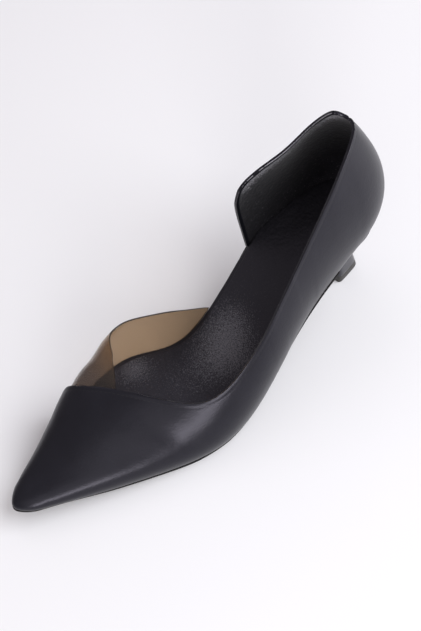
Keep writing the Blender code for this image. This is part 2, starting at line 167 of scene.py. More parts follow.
# Leather edge: folded over the lining, with a bead beside it and a stitched groove
SKIN = 0.9
FOLD_DEEP = (1.9, 3.2)
LINING_START = 1.9
LINING_GAP = 0.05
LINING_SINK = 0.08
BEAD = SimpleNamespace(at=0.9, wide=0.8, high=0.12)
GROOVE = SimpleNamespace(at=2.4, wide=0.4, high=-0.03)
TUCK_ROUND = 0.3
STITCH = SimpleNamespace(pitch=2.3, long=1.7, radius=0.14, sink=-0.08, ends=2)

# Film: soft swell of its side, by x and girth share
FILM_SWELL = SimpleNamespace(x=157.0, long=9.5, girth=0.57, tall=0.3, high=1.9)

# Back seam: groove on the mid line, with a swelling each side
SEAM_GROOVE = SimpleNamespace(at=0.0, wide=0.42, high=-0.38)
SEAM_SWELL = SimpleNamespace(at=1.5, wide=0.9, high=0.14)
SEAM_FRONT = 26.0
SEAM_EASE = 8.0

# Soft creases, run in and out over a share of their length
CREASE_EASE = 0.35

# One row a crease: side, x and wall share at its start and its end, width and height (below zero a trough)
CREASE_ROWS = (
    (1, 150, 0.16, 171, 0.62, 5.5, -0.22),
    (1, 158, 0.14, 182, 0.55, 6.0, 0.16),
    (-1, 196, 0.20, 206, 0.75, 5.0, -0.14),
    (1, 228, 0.15, 236, 0.70, 2.2, -0.12),
    (-1, 230, 0.10, 238, 0.60, 2.0, -0.14),
    (1, 66, 0.10, 74, 0.40, 7.0, -0.20),
    (1, 92, 0.12, 98, 0.44, 8.0, 0.14),
    (1, 34, 0.10, 46, 0.55, 9.0, 0.15),
    (-1, 34, 0.10, 44, 0.46, 8.0, 0.12),
    (1, 158, 0.22, 242, 0.26, 7.5, 1.4),
)

# Rows close to an edge, as distances from it
NEAR_RIM = (0, 1.0, 1.3, 1.6, 1.9, 2.15, 2.4, 2.65, 2.9, 3.2, 3.7, 4.4, 5.4, 6.8)
NEAR_LINING = (0, 3.2, 4.2, 5.6)
NEAR_FEATHER = (0, 0.25, 0.5, 0.8, 1.2, 1.8, 2.6)
NEAR_SEAM = (0, 0.25, 0.5, 0.8, 1.1, 1.5, 2.0, 2.7, 3.6)

# Wall shares whose lines set the spacing of the rows
MID_SHARE = 0.4
TOE_SHARE_LOW = 0.15

# What counts as nothing, as on the edge and as one point, and half the step of a slope
TINY = 1e-9
ON_EDGE = 1e-3
WELD = 0.02
HALF_STEP = 0.5

# Steps of the curves and meshes
LOOP_COUNT = 4001
RUN_COUNT = 300
CREASE_STEPS = 30
ARC_STEPS = 8
EDGE_STEPS = 6
PLATE_STRIPS = 14
FINE = SimpleNamespace(near=NEAR_RIM, side=150, wall=34, vamp=52, quarter=58)
PLAIN = SimpleNamespace(near=NEAR_LINING, side=90, wall=26, vamp=30, quarter=36)
FILM_STEPS = SimpleNamespace(along=60, girth=90)
INSOLE_STEPS = SimpleNamespace(heel=18, body=110, toe=16)
SOLE_STEPS = SimpleNamespace(back=12, body=130, toe=18)
SEAT_STEPS = 41
HEEL_SIDES = 96
HEEL_RINGS = 90

# Leathers: tint of their reflections, pores in a grain cell, and where a pale patch of painted light starts
# and is full
COOL_SHEEN = (0.89, 0.85, 1.0, 1)
PORES_IN_CELL = 2.3
PATCH_RAMP = (0.65, 1.0)

# Painted sheen on the sock, pale patches standing in for its highlights: place on the sock, reach in
# millimetres and strength
SOCK_PAINTED_SHEEN = ((107, 3, 32, 0.42), (92, -6, 20, 0.12), (147, -26, 18, 0.30), (135, 0, 24, 0.12))

# Painted light on the lining, a pale band along the inner quarter's edge: stations, reach in millimetres and
# strength
LINING_PAINTED_LIGHT_STATIONS = range(10, 65, 6)
LINING_PAINTED_LIGHT_REACH = 14.0
LINING_PAINTED_LIGHT_STRENGTH = 0.21

# Film: smoke behind, smoke in front darker and greyer as painted shade and painted grey reflection, where it
# changes, painted shade at its back, its gloss and its cut edge
SMOKE_BACK = (0.47, 0.340, 0.220)
SMOKE_FRONT_PAINTED_SHADE = (0.31, 0.265, 0.240)
SMOKE_CHANGE = (0.027, 0.051)
SMOKE_PAINTED_SHADE_AT_BACK = (-0.012, 0.012, 0.72)
FILM_ROUGH = (0.10, 0.18)
CUT_DARK = (0.012, 0.008, 0.006)
CUT_LIGHT = (0.03, 0.02, 0.013)

# Camera in the shared frame: the photograph's place, aim and lens, then the aim at the shoe and a longer lens
CAMERA_AT = Vector((0.1569, 0.2221, 0.5069))
PHOTO_AIM = Vector((-0.0047, 0.0504, 0.0))
PHOTO_LENS = 45.6
SHOE_AIM = Vector((-0.0155, -0.0095, 0.036))
LENS_GAIN = 1.32

# Directions of the picture on the floor
PICTURE_RIGHT = Vector((-0.728, 0.685, 0))
PICTURE_UP = Vector((-0.685, -0.728, 0))

# Plain pale floor and the dim studio round it
FLOOR_HALF = 3.0
FLOOR_COLOUR = (0.88, 0.875, 0.885, 1)
STUDIO_COLOUR = (1.0, 0.93, 0.955, 1)
STUDIO_STRENGTH = 0.39

# Soft lights: place along the picture's right and up and above the floor, width, height, watts and colour
LIGHTS = (
    ("side_window", 1.3, 0.0, 1.55, 1.8, 1.6, 32.0, (0.93, 0.955, 1.0)),
    ("far_window", -0.3, 0.7, 1.4, 0.7, 0.7, 1.5, (0.95, 0.92, 1.0)),
    ("low_right", 1.3, -0.1, 0.17, 1.2, 0.12, 6.0, (1, 1, 1)),
    ("low_front", 0.2, -1.2, 0.42, 0.5, 0.4, 5.5, (1, 1, 1)),
    ("high_front", 0.0, -1.0, 1.15, 0.9, 0.7, 1.7, (1, 1, 1)),
)


def spline(xs, ys):
    """Natural cubic spline through the rows, as a function."""
    xs = np.asarray(xs, float)
    ys = np.asarray(ys, float)
    count = len(xs)
    gap = np.diff(xs)
    matrix = np.zeros((count, count))
    right = np.zeros(count)
    matrix[0, 0] = 1
    matrix[-1, -1] = 1
    for i in range(1, count - 1):
        matrix[i, i - 1:i + 2] = gap[i - 1], 2 * (gap[i - 1] + gap[i]), gap[i]
        right[i] = 6 * ((ys[i + 1] - ys[i]) / gap[i] - (ys[i] - ys[i - 1]) / gap[i - 1])
    bend = np.linalg.solve(matrix, right)

    def value(x):
        x = np.asarray(x, float)
        i = np.clip(np.searchsorted(xs, x) - 1, 0, count - 2)
        t = x - xs[i]
        slope = (ys[i + 1] - ys[i]) / gap[i] - gap[i] * (2 * bend[i] + bend[i + 1]) / 6
        return ys[i] + t * (slope + t * (bend[i] / 2 + t * (bend[i + 1] - bend[i]) / (6 * gap[i])))
    return value


def curve_through(rows, column=1):
    """Spline of one column of a table over its first column."""
    return spline([row[0] for row in rows], [row[column] for row in rows])


def straight_through(rows, column):
    """Straight lines through one column of a table over its first column."""
    return lambda x: np.interp(x, [row[0] for row in rows], [row[column] for row in rows])


SECTION = {name: curve_through(SECTION_ROWS, i) for i, name in enumerate(SECTION_COLUMNS) if i > 0}


def soft_max(a, b, blend):
    """Larger of two values, with a smooth change between them."""
    return (a + b + np.sqrt((a - b) ** 2 + blend * blend)) / 2


def smooth_step(x, low, high):
    """0 below low, 1 above high, smooth between them."""
    t = np.clip((x - low) / (high - low), 0, 1)
    return t * t * (3 - 2 * t)


def bump(x, shape):
    """Soft ridge or trough of a named shape at its distance."""
    return shape.high * np.exp(-((x - shape.at) / shape.wide) ** 2)


def station(q):
    """x of the feather point at loop share q, which slows down round the heel and the toe tip."""
    q = np.asarray(q, float)
    toe_start = LENGTH - TOE_NOSE
    heel = HEEL_CENTRE - (HEEL_CENTRE - HEEL_BACK) * np.cos(np.clip(q / HEEL_SHARE, 0, 1) * np.pi / 2)
    toe = toe_start + TOE_NOSE * np.sin(np.clip((q - TOE_SHARE) / (1 - TOE_SHARE), 0, 1) * np.pi / 2)
    middle = HEEL_CENTRE + (toe_start - HEEL_CENTRE) * (q - HEEL_SHARE) / (TOE_SHARE - HEEL_SHARE)
    return np.where(q < HEEL_SHARE, heel, np.where(q > TOE_SHARE, toe, middle))


LOOP_STEPS = np.linspace(0, 1, LOOP_COUNT)
LOOP_STATIONS = station(LOOP_STEPS)


def loop_share(x):
    """Loop share q whose station is x."""
    return np.interp(x, LOOP_STATIONS, LOOP_STEPS)


def round_ends(x, back, front, nose):
    """1 along the foot, falling to 0 as a quarter ellipse at the heel and at the nose of an outline."""
    heel = np.clip((HEEL_CENTRE - x) / (HEEL_CENTRE - back), 0, 1)
    toe = np.clip((x - (front - nose)) / nose, 0, 1)
    return np.sqrt((1 - heel ** 2) * (1 - toe ** 2))


def axis_y(x):
    """Mid line of the plan, straight along the foot and turning to the toe tip."""
    t = np.clip((x - TOE_BEND_START) / (LENGTH - TOE_BEND_START), 0, 1)
    tip = (SECTION["lateral"](LENGTH) - SECTION["medial"](LENGTH)) / 2
    return tip * t * t * (3 - 2 * t)


def half_width(x, side):
    """Width of one side of the plan, from its mid line."""
    return np.where(np.asarray(side) > 0, SECTION["lateral"](x) - axis_y(x), SECTION["medial"](x) + axis_y(x))


def feather(x, side):
    """Point on the line where upper and sole meet, side +1 outer, -1 inner."""
    x = np.asarray(x, float)
    y = axis_y(x) + side * half_width(x, side) * round_ends(x, HEEL_BACK, LENGTH, TOE_NOSE)
    return np.stack(np.broadcast_arrays(x, y, SECTION["feather"](x)), -1)


def last_point(q, side, share):
    """Point on the last: share 0 at the feather line, 1 on the ridge, a cubic curve in between."""
    q, side, share = np.broadcast_arrays(np.asarray(q, float), side, np.asarray(share, float))
    x = station(q)
    low = feather(x, side)
    spine = soft_max(HEEL_CENTRE, -soft_max(-TOE_CENTRE, -x, SPINE_BLEND), SPINE_BLEND)
    rise = SECTION["ridge"](spine + HALF_STEP) - SECTION["ridge"](spine - HALF_STEP)
    ridge_slope = rise / (2 * HALF_STEP)
    top = np.stack([spine, SECTION["ridge_y"](spine), SECTION["ridge"](spine)], -1)
    out = low - top
    out[..., 2] = 0
    reach = np.linalg.norm(out, axis=-1, keepdims=True)
    out = out / np.maximum(reach, TINY)
    flare = np.where(side > 0, SECTION["flare_lat"](x), SECTION["flare_med"](x))[..., None]
    bend = np.where(side > 0, SECTION["round_lat"](x), SECTION["round_med"](x))[..., None]
    bulge = low + out * flare
    bulge[..., 2] += SECTION["rise"](x)
    shoulder = top + out * reach * bend
    shoulder[..., 2] = top[..., 2] + ridge_slope * (shoulder[..., 0] - top[..., 0]) - SECTION["drop"](x)
    t = share[..., None]
    return (1 - t) ** 3 * low + 3 * (1 - t) ** 2 * t * bulge + 3 * (1 - t) * t * t * shoulder + t ** 3 * top


def skin(q, girth):
    """Point on the last by girth share: 0 inner feather line, 1 ridge, 2 outer feather line."""
    girth = np.asarray(girth, float)
    return last_point(q, np.where(girth > 1, 1, -1), np.where(girth > 1, 2 - girth, girth))


def inward(q, girth, depth):
    """Point on the last moved a depth along the inward normal."""
    step = 0.002
    along = skin(np.clip(q + step, 0, 1), girth) - skin(np.clip(q - step, 0, 1), girth)
    across = skin(q, girth + step) - skin(q, girth - step)
    normal = np.cross(along, across)
    normal /= np.linalg.norm(normal, axis=-1, keepdims=True)
    return skin(q, girth) - normal * depth


def spaced(curve, start, end, near_start, near_end, count):
    """Parameters from start to end whose points lie at even steps, with the given ones close to the ends."""
    t = np.linspace(start, end, RUN_COUNT)
    run = np.concatenate([[0], np.cumsum(np.linalg.norm(np.diff(curve(t), axis=0), axis=1))])
    middle = np.linspace(near_start[-1], run[-1] - near_end[-1], count)
    places = np.concatenate([near_start[:-1], middle, run[-1] - np.array(near_end[:-1])[::-1]])
    return np.interp(places, run, t)


def toe_line(share, start, guide, near):
    """Loop shares from the vamp's edge to the toe tip: close rows as given, the rest like the guide's."""
    last_near = len(near) - 1
    own = spaced(lambda q: last_point(q, -1, share), start, 1, near, (0,), 2)
    spread = (guide[last_near:] - guide[last_near]) / (1 - guide[last_near])
    return np.concatenate([own[:last_near], own[last_near] + spread * (1 - own[last_near])])


def upper_grids(steps):
    """Grids over the leather: outer side with the toe, inner half of the vamp, inner heel quarter.

    Every grid starts at the open edge. They share their points at the heel's back, the ridge and the toe.
    """
    lateral_rim = curve_through(LATERAL_RIM)
    quarter_rim = curve_through(QUARTER_RIM)
    quarter_front = curve_through(QUARTER_FRONT)
    vamp_front = curve_through(VAMP_FRONT)
    throat_q = loop_share(THROAT_X)

    toe_shares = spaced(lambda s: last_point(1.0, 1, s), 1, 0, steps.near, NEAR_FEATHER, steps.wall)
    guide = spaced(lambda q: last_point(q, -1, TOE_SHARE_LOW), loop_share(vamp_front(TOE_SHARE_LOW)), 1,
                   steps.near, (0,), steps.vamp)
    vamp_q = np.array([
        toe_line(share, loop_share(vamp_front(share)), guide, steps.near)
        for share in toe_shares]).T
    vamp = last_point(vamp_q, -1, toe_shares[None, :])

    side_q = spaced(lambda q: last_point(q, 1, MID_SHARE), 0, throat_q, NEAR_SEAM, (0,), steps.side)
    all_q = np.concatenate([side_q[:-1], vamp_q[:, 0]])
    rims = np.where(all_q < throat_q - TINY, lateral_rim(np.minimum(station(all_q), THROAT_X)), 1.0)
    shares = np.array([
        spaced(lambda s: last_point(q, 1, s), rim, 0, steps.near, NEAR_FEATHER, steps.wall)
        for q, rim in zip(all_q, rims)])
    lateral = last_point(all_q[:, None], 1, shares)

    fractions = shares[0] / rims[0]

    def quarter_point(q, fraction):
        return last_point(q, -1, fraction * quarter_rim(station(q)))

    quarter_q = np.array([
        spaced(lambda q: quarter_point(q, part), loop_share(quarter_front(part)), 0, steps.near, NEAR_SEAM,
               steps.quarter)
        for part in fractions]).T
    quarter = quarter_point(quarter_q, fractions[None, :])

    throat = len(side_q) - 1
    rim = np.concatenate([vamp[0, ::-1], lateral[throat - 1::-1, 0], quarter[-2::-1, 0], quarter[0, 1:]])
    ground = np.concatenate([quarter[:, -1], lateral[:, -1], vamp[::-1, -1]])
    for grid in (lateral, vamp, quarter, rim, ground):
        grid[..., 2] += LIFT
    return SimpleNamespace(patches=((lateral, False), (vamp, True), (quarter, False)), rim=rim, ground=ground)


def grid_faces(bm, points, flip=False):
    """Quads over a grid of points."""
    verts = [[bm.verts.new(p) for p in row] for row in points]
    for i in range(len(verts) - 1):
        for j in range(len(verts[0]) - 1):
            quad = [verts[i][j], verts[i + 1][j], verts[i + 1][j + 1], verts[i][j + 1]]
            bm.faces.new(quad[::-1] if flip else quad)


def welded(patches):
    """One open surface from grids that share points: its points, normals, faces and directed border edges."""
    bm = bmesh.new()
    for grid, flip in patches:
        grid_faces(bm, grid, flip)
    bmesh.ops.remove_doubles(bm, verts=bm.verts, dist=WELD)
    bm.normal_update()
    bm.verts.index_update()
    loops = [edge.link_loops[0] for edge in bm.edges if edge.is_boundary]
    surface = SimpleNamespace(
        points=np.array([v.co for v in bm.verts]),
        normals=np.array([v.normal for v in bm.verts]),
        faces=[[v.index for v in face.verts] for face in bm.faces],
        border=[(loop.vert.index, loop.link_loop_next.vert.index) for loop in loops])
    bm.free()
    return surface


def thick_line(chain, step=0.15):
    """Points along a chain of points, a small step apart."""
    run = np.concatenate([[0], np.cumsum(np.linalg.norm(np.diff(chain, axis=0), axis=1))])
    places = np.arange(0, run[-1], step)
    return np.stack([np.interp(places, run, chain[:, k]) for k in range(3)], -1)


def distance_to(points, chain):
    """Distance of each point to a chain of points."""
    line = thick_line(chain)
    tree = KDTree(len(line))
    for i, place in enumerate(line):
        tree.insert(place, i)
    tree.balance()
    return np.array([tree.find(place)[2] for place in points])


def border_tangents(surface):
    """Directions that lead off the surface at its border points, in the surface, and zero elsewhere."""
    tangents = np.zeros_like(surface.points)
    for a, b in surface.border:
        off = np.cross(surface.points[b] - surface.points[a], surface.normals[a] + surface.normals[b])
        tangents[a] += off
        tangents[b] += off
    size = np.linalg.norm(tangents, axis=1, keepdims=True)
    return tangents / np.maximum(size, TINY)


def shell(surface, high, deep, rim, pull=0.0):
    """Closed wall between heights above and depths below a surface, with a round edge along its rim.

    high and deep hold a value a point, rim is true on the points of the rim, and pull moves the rim inwards.
    """
    count = len(surface.points)
    tangents = border_tangents(surface)
    half = (high + deep) / 2
    back = np.where(rim, half + pull, 0.0)[:, None] * tangents
    outer = surface.points + surface.normals * high[:, None] - back
    inner = surface.points - surface.normals * deep[:, None] - back
    points = [*outer, *inner]
    rows = {}
    for v in {v for edge in surface.border for v in edge}:
        rows[v] = [v, v + count]
        if rim[v]:
            middle = (outer[v] + inner[v]) / 2
            turns = np.linspace(0, np.pi, ARC_STEPS + 1)[1:-1]
            arc = [middle + half[v] * (np.cos(turn) * surface.normals[v] + np.sin(turn) * tangents[v])
                   for turn in turns]
            rows[v] = [v, *range(len(points), len(points) + len(arc)), v + count]
            points.extend(arc)
    faces = list(surface.faces) + [[v + count for v in face[::-1]] for face in surface.faces]
    rim_start = len(faces)
    for a, b in surface.border:
        if len(rows[a]) == len(rows[b]):
            steps = range(len(rows[a]) - 1)
            faces += [[rows[b][k], rows[a][k], rows[a][k + 1], rows[b][k + 1]] for k in steps]
        else:
            faces.append(rows[a] + rows[b][::-1])
    return np.array(points), faces, rim_start


def add_piece(name, points, faces, materials, slots=None, sharp_deg=60):
    """Object of a finished mesh on the shoe's one body. slots gives each face's place among the materials."""
    mesh = bpy.data.meshes.new(name)
    mesh.from_pydata(((points - ORIGIN) * MM).tolist(), [], faces)
    for material in materials:
        mesh.materials.append(material)
    if slots is not None:
        mesh.polygons.foreach_set("material_index", slots)
    mesh.validate()
    mesh.shade_smooth()
    mesh.set_sharp_from_angle(angle=np.radians(sharp_deg))
    piece = bpy.data.objects.new(name, mesh)
    bpy.context.scene.collection.objects.link(piece)
    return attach(piece, "root")


def crease_relief(points):
    """Soft troughs and ridges placed on the last."""
    relief = np.zeros(len(points))
    for side, x_from, share_from, x_to, share_to, wide, high in CREASE_ROWS:
        t = np.linspace(0, 1, CREASE_STEPS)
        x = x_from + (x_to - x_from) * t
        chain = last_point(loop_share(x), side, share_from + (share_to - share_from) * t)
        ease = CREASE_EASE * (x_to - x_from)
        run_in = smooth_step(points[:, 0], x_from - wide / 2, x_from - wide / 2 + ease)
        run_out = 1 - smooth_step(points[:, 0], x_to + wide / 2 - ease, x_to + wide / 2)
        relief += high * run_in * run_out * np.exp(-(distance_to(points, chain) / wide) ** 2)
    return relief


def make_upper():
    """Leather skin with its folded edge, replacing the plain wall."""
    grids = upper_grids(FINE)
    surface = welded(grids.patches)
    points = surface.points
    edge = distance_to(points, grids.rim)
    ground = distance_to(points, grids.ground)
    beside_seam = np.abs(points[:, 1])
    at_back = 1 - smooth_step(points[:, 0], SEAM_FRONT - SEAM_EASE, SEAM_FRONT)
    relief = bump(edge, BEAD) + bump(edge, GROOVE) + crease_relief(points)
    relief += at_back * (bump(beside_seam, SEAM_GROOVE) + bump(beside_seam, SEAM_SWELL))
    tucked = np.clip(1 - ground / TUCK_ROUND, 0, 1)
    relief -= TUCK_ROUND * (1 - np.sqrt(1 - tucked ** 2)) * (ground < TUCK_ROUND)
    deep = SKIN + (LEATHER - SKIN) * (1 - smooth_step(edge, *FOLD_DEEP))
    shape, faces, _ = shell(surface, relief, deep, edge < ON_EDGE)
    piece = add_piece("upper_leather_skin", shape, faces, [leather("pump_leather")])
    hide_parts("upper")
    make_stitches(surface, relief, grids.rim)


def make_lining():
    """Grained lining inside the leather, starting below the folded edge."""
    grids = upper_grids(PLAIN)
    surface = welded(grids.patches)
    edge = distance_to(surface.points, grids.rim)
    high = np.full(len(surface.points), -SKIN - LINING_GAP)
    deep = np.full(len(surface.points), LEATHER - LINING_SINK)
    shape, faces, _ = shell(surface, high, deep, edge < ON_EDGE, pull=LINING_START)
    add_piece("upper_lining", shape, faces, [lining_leather("lining")])


def capsule(long, radius, around=6, rings=5, blunt=0.6):
    """Points and faces of a small thread stitch along its first axis."""
    points = []
    for k in range(rings):
        t = np.pi * (k + 0.5) / rings
        for turn in np.linspace(0, 2 * np.pi, around, endpoint=False):
            wide = radius * np.sin(t) ** blunt
            points.append((-long / 2 * np.cos(t), wide * np.cos(turn), wide * np.sin(turn)))
    faces = [[k * around + i, k * around + (i + 1) % around, (k + 1) * around + (i + 1) % around,
              (k + 1) * around + i] for k in range(rings - 1) for i in range(around)]
    faces.append(list(range(around))[::-1])
    faces.append([(rings - 1) * around + i for i in range(around)])
    return np.array(points), faces


def make_stitches(surface, relief, rim):
    """Row of fine thread in the groove beside the folded edge."""
    shape = surface.points + surface.normals * relief[:, None]
    tree = BVHTree.FromPolygons(shape.tolist(), surface.faces)
    tangents = border_tangents(surface)
    border = np.array(sorted({v for edge in surface.border for v in edge}))
    lookup = KDTree(len(border))
    for v in border:
        lookup.insert(surface.points[v], int(v))
    lookup.balance()
    row = thick_line(rim, STITCH.pitch)[STITCH.ends:-STITCH.ends]
    stitch_points, stitch_faces = capsule(STITCH.long, STITCH.radius)
    points = []
    faces = []
    for i in range(len(row) - 1):
        heading = row[i + 1] - row[i]
        v = lookup.find(row[i])[1]
        place, normal, _, _ = tree.find_nearest(row[i] - tangents[v] * GROOVE.at)
        normal = np.array(normal)
        along = heading - normal * (heading @ normal)
        along /= np.linalg.norm(along)
        turn = np.stack([along, np.cross(normal, along), normal])
        faces += [[k + len(points) for k in face] for face in stitch_faces]
        points.extend(stitch_points @ turn + np.array(place) + normal * STITCH.sink)
    add_piece("topline_stitches", np.array(points), faces, [thread("black_thread")])


def make_film():
    """Smoky film of the inner ball side, tucked under the vamp's edge, with a darker cut edge."""
    panel_back = curve_through(PANEL_BACK)
    panel_front = curve_through(PANEL_FRONT)
    girth = np.linspace(0, PANEL_TOP, FILM_STEPS.girth)
    steps = np.linspace(0, 1, FILM_STEPS.along)
    back = panel_back(girth)
    x = back[None, :] + steps[:, None] * (panel_front(girth) - back)[None, :]
    from_front = panel_front(girth)[None, :] - x
    depth = (LEATHER + GAP) * (1 - smooth_step(from_front, PANEL_TUCK, PANEL_TUCK + PANEL_EASE)) + PANEL_INSET
    along = np.exp(-((x - FILM_SWELL.x) / FILM_SWELL.long) ** 2)
    depth -= FILM_SWELL.high * along * np.exp(-((girth[None, :] - FILM_SWELL.girth) / FILM_SWELL.tall) ** 2)
    grid = inward(loop_share(x), girth[None, :] + 0 * x, depth[..., None])
    grid[..., 2] += LIFT
    surface = welded([(grid, False)])
    edge = distance_to(surface.points, grid[0])
    nothing = np.zeros(len(surface.points))
    shape, faces, rim_start = shell(surface, nothing, nothing + FILM, edge < ON_EDGE)
    slots = [int(i >= rim_start) for i in range(len(faces))]
    materials = [film("smoky_clear_film"), film_edge("film_cut_edge")]
    piece = add_piece("film_panel", shape, faces, materials, slots)
    piece.visible_shadow = False
    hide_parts("vinyl_panel")


def round_toe(front, nose, count):
    """Stations of an outline's nose, crowded towards its tip."""
    return front - nose * (1 - np.sin(np.linspace(0, 1, count) * np.pi / 2))


def eased(back, front, nose, steps):
    """Stations from the heel's back to the tip of an outline, crowded towards its round ends."""
    heel = HEEL_CENTRE - (HEEL_CENTRE - back) * np.cos(np.linspace(0, 1, steps.heel) * np.pi / 2)
    toe = round_toe(front, nose, steps.toe)
    return np.concatenate([heel[:-1], np.linspace(heel[-1], toe[0], steps.body), toe[1:]])


def plate(xs, inner, outer, bottom, top, under_round, over_round):
    """Closed plate on an outline whose ends are points, with round edges below and above.

    bottom and top are functions of x.
    """
    count = len(xs)
    loop = np.concatenate([np.stack([xs, inner], -1), np.stack([xs, outer], -1)[-2:0:-1]])
    off = np.roll(loop, -1, 0) - np.roll(loop, 1, 0)
    off = np.stack([off[:, 1], -off[:, 0]], -1)
    off /= np.linalg.norm(off, axis=1, keepdims=True)
    rings = []
    turns = np.linspace(0, np.pi / 2, EDGE_STEPS)
    for turn in turns:
        place = loop - off * under_round * (1 - np.sin(turn))
        rings.append(np.column_stack([place, bottom(place[:, 0]) + under_round * (1 - np.cos(turn))]))
    for turn in turns:
        place = loop - off * over_round * (1 - np.cos(turn))
        rings.append(np.column_stack([place, top(place[:, 0]) - over_round * (1 - np.sin(turn))]))
    size = len(loop)
    points = [place for ring in rings for place in ring]
    faces = []
    for k in range(len(rings) - 1):
        for i in range(size):
            j = (i + 1) % size
            faces.append([k * size + i, k * size + j, (k + 1) * size + j, (k + 1) * size + i])
    shares = np.linspace(0, 1, PLATE_STRIPS + 1)[1:-1]
    for ring, flip in ((0, True), (len(rings) - 1, False)):
        lines = []
        for i in range(count):
            start = ring * size + i
            end = ring * size + (size - i) % size
            if i in (0, count - 1):
                lines.append([start])
                continue
            line = [points[start] + (points[end] - points[start]) * share for share in shares]
            lines.append([start, *range(len(points), len(points) + len(line)), end])
            points.extend(line)
        for a, b in zip(lines, lines[1:]):
            long = max(len(a), len(b))
            a = a * long if len(a) == 1 else a
            b = b * long if len(b) == 1 else b
            for k in range(long - 1):
                face = list(dict.fromkeys([a[k], b[k], b[k + 1], a[k + 1]]))
                faces.append(face[::-1] if flip else face)
    return np.array(points), faces


def insole_outline(back, inset):
    """Stations, inner and outer edge of an insole layer, inside the feather line by an inset table."""
    xs = eased(back, INSOLE_FRONT, INSOLE_NOSE, INSOLE_STEPS)
    ends = round_ends(xs, back, INSOLE_FRONT, INSOLE_NOSE)
    outer = axis_y(xs) + (half_width(xs, 1) - straight_through(inset, 1)(xs)) * ends
    inner = axis_y(xs) - (half_width(xs, -1) - straight_through(inset, 2)(xs)) * ends
    return xs, inner, outer


def make_insole():
    """Board wrapped in smooth leather, and the grained sock on it, set in where the waist is open."""
    def board_bottom(x):
        return SECTION["feather"](x) + LIFT

    def board_top(x):
        return board_bottom(x) + INSOLE_THICK - SOCK_THICK

    board = plate(*insole_outline(BOARD_BACK, BOARD_INSET), board_bottom, board_top, *BOARD_ROUND)
    piece = add_piece("insole_board", *board, [rim_leather("insole_rim_leather")])
    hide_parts("insole")
    sock = plate(*insole_outline(SOCK_BACK, SOCK_INSET), lambda x: board_top(x) + SOCK_GAP,
                 lambda x: board_top(x) + SOCK_THICK, *SOCK_ROUND)
    add_piece("insole_sock", *sock, [sock_leather("sock_grain")])


def make_outsole():
    """Sole from the heel breast to the toe, with round edges."""
    bow = np.linspace(0, 1, SOLE_STEPS.back)
    back = SOLE_BACK + SOLE_BACK_BOW * bow ** 2
    toe = round_toe(SOLE_FRONT, SOLE_NOSE, SOLE_STEPS.toe)
    body = np.linspace(back[-1], toe[0], SOLE_STEPS.body)
    xs = np.concatenate([back, body[1:], toe[1:]])
    wide = np.concatenate([bow, np.ones(len(xs) - len(bow))])
    wide = wide * round_ends(np.maximum(xs, HEEL_CENTRE), HEEL_BACK, SOLE_FRONT, SOLE_NOSE)
    outer = axis_y(xs) + (half_width(xs, 1) + straight_through(SOLE_MARGIN, 1)(xs)) * wide
    inner = axis_y(xs) - (half_width(xs, -1) + straight_through(SOLE_MARGIN, 2)(xs)) * wide

    def top(x):
        return SECTION["feather"](x) - LIFT

    def bottom(x):
        return np.maximum(top(x) - straight_through(SOLE_THICK, 1)(x), 0.0)

    shape = plate(xs, inner, outer, bottom, top, *SOLE_ROUND)
    piece = add_piece("sole_plate", *shape, [sole_rubber("sole_black")])
    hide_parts("outsole")


def heel_ring(x_back, z_back, x_front, z_front, half, square, taper):
    """Tilted ring, round at the back and nearly flat across the breast."""
    turn = np.linspace(0, 2 * np.pi, HEEL_SIDES, endpoint=False)
    power = np.where(np.cos(turn) > 0, FRONT_SQUARE, square)
    along = np.sign(np.cos(turn)) * np.abs(np.cos(turn)) ** (2 / power)
    across = np.sign(np.sin(turn)) * np.abs(np.sin(turn)) ** (2 / power)
    share = (along + 1) / 2
    wide = half * (1 - taper * (1 - share))
    x = x_back + (x_front - x_back) * share
    z = z_back + (z_front - z_back) * share
    return np.stack([x, wide * across, z], -1)


def seat_ring():
    """Flat seat ring just below the feather line, on its outline."""
    slope = (SECTION["feather"](SEAT_FRONT) - SECTION["feather"](HEEL_BACK)) / (SEAT_FRONT - HEEL_BACK)
    xs = np.linspace(HEEL_BACK, SEAT_FRONT, SEAT_STEPS)
    level = (SECTION["feather"](xs) - slope * xs).min() - LIFT
    z_back = level + slope * HEEL_BACK
    z_front = level + slope * SEAT_FRONT
    ring = heel_ring(HEEL_BACK, z_back, SEAT_FRONT, z_front, half=1.0, square=2.0, taper=0.0)
    edge = np.abs(feather(ring[:, 0], np.where(ring[:, 1] < 0, -1, 1))[:, 1])
    back_half = ring[:, 0] < (HEEL_BACK + SEAT_FRONT) / 2
    ring[:, 1] = edge * np.where(back_half, np.sign(np.round(ring[:, 1], 6)), ring[:, 1])
    return ring


def smooth_loft(rings, count):
    """Rings between the given ones, on splines through each of their points."""
    rings = np.array(rings)
    steps = np.linalg.norm(np.diff(rings.mean(1), axis=0), axis=1)
    run = np.concatenate([[0], np.cumsum(steps)])
    places = np.linspace(0, run[-1], count)
    flat = rings.reshape(len(rings), -1)
    return np.stack([spline(run, flat[:, k])(places) for k in range(flat.shape[1])], -1).reshape(count, -1, 3)


def drawn_in(ring, inset, drop):
    """Ring made smaller by an inset towards its middle and lowered."""
    middle = ring.mean(0)
    off = ring - middle
    off = off * (1 - inset / np.linalg.norm(off, axis=1, keepdims=True))
    return middle + off - (0, 0, drop)


def capped(rings):
    """Closed body through rings of the same count, from top to bottom."""
    size = len(rings[0])
    points = np.concatenate(rings)
    faces = []
    for k in range(len(rings) - 1):
        for i in range(size):
            j = (i + 1) % size
            faces.append([k * size + i, (k + 1) * size + i, (k + 1) * size + j, k * size + j])
    faces.append(list(range(size)))
    faces.append([(len(rings) - 1) * size + i for i in range(size)][::-1])
    return points, faces


